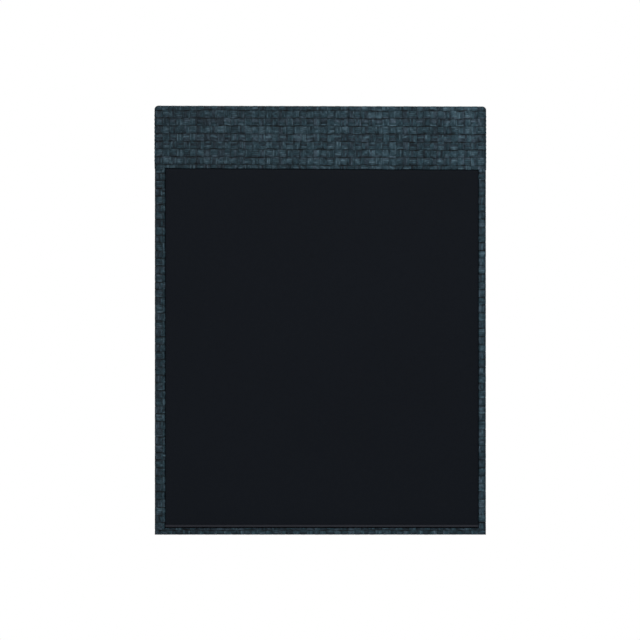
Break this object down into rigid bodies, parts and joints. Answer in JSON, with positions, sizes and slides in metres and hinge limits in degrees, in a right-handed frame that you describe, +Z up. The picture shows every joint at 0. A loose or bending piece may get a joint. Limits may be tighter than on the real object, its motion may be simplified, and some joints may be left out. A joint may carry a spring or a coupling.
{
  "type": "wall punch pad",
  "caption": "Rectangular wall-hung striking pad: matte black cushioned face inset in a blue-grey basket-woven vinyl casing with a wide header band, on a board with hook bars.",
  "frame": {"origin": "centre of the four wall screw holes, on the wall's surface", "axes": "+X to the right as seen by someone facing the pad, +Y into the wall, +Z up; the striking face looks along -Y"},
  "size_m": [0.34, 0.0728, 0.44],
  "materials": {
    "woven_vinyl": "satin",
    "face_vinyl": "matte",
    "soft_foam": "matte",
    "firm_foam": "matte",
    "backing_cloth": "matte",
    "dust_cloth": "matte",
    "plywood": "matte",
    "bar_aluminium": "satin",
    "zinc_steel": "satin",
    "eyelet_metal": "satin",
    "bumper_rubber": "matte"
  },
  "bodies": {
    "wall_bars": {"wall_bar_upper": "bar_aluminium", "wall_bar_lower": "bar_aluminium"},
    "pad": {"pad_bar_upper": "bar_aluminium", "pad_bar_lower": "bar_aluminium", "bar_screws": "zinc_steel", "tee_nuts": "zinc_steel", "bumper_screws": "zinc_steel", "cover_staples": "zinc_steel", "dust_cover_staples": "zinc_steel", "backing_board": "plywood", "base_foam": "firm_foam", "impact_foam": "firm_foam", "header_block": "firm_foam", "edge_rail_left": "firm_foam", "edge_rail_right": "firm_foam", "edge_rail_bottom": "firm_foam", "vent_eyelets": "eyelet_metal", "dust_cover": "dust_cloth", "rubber_bumpers": "bumper_rubber", "cover_header": "woven_vinyl", "cover_left": "woven_vinyl", "cover_right": "woven_vinyl", "cover_bottom": "woven_vinyl"},
    "striking_face": {"face_panel": "face_vinyl", "face_boxing": "face_vinyl", "face_welt": "face_vinyl", "comfort_foam": "soft_foam", "face_backing_cloth": "backing_cloth"}
  },
  "joints": [
    {"name": "lift_off", "type": "slide", "parent": "wall_bars", "child": "pad", "axis": [0, 0, 1], "range_m": [0, 0.02]},
    {"name": "face_press", "type": "slide", "parent": "pad", "child": "striking_face", "axis": [0, 1, 0], "range_m": [0, 0.012], "stiffness_N_per_m": 12000, "deforming": ["impact_foam"]}
  ]
}
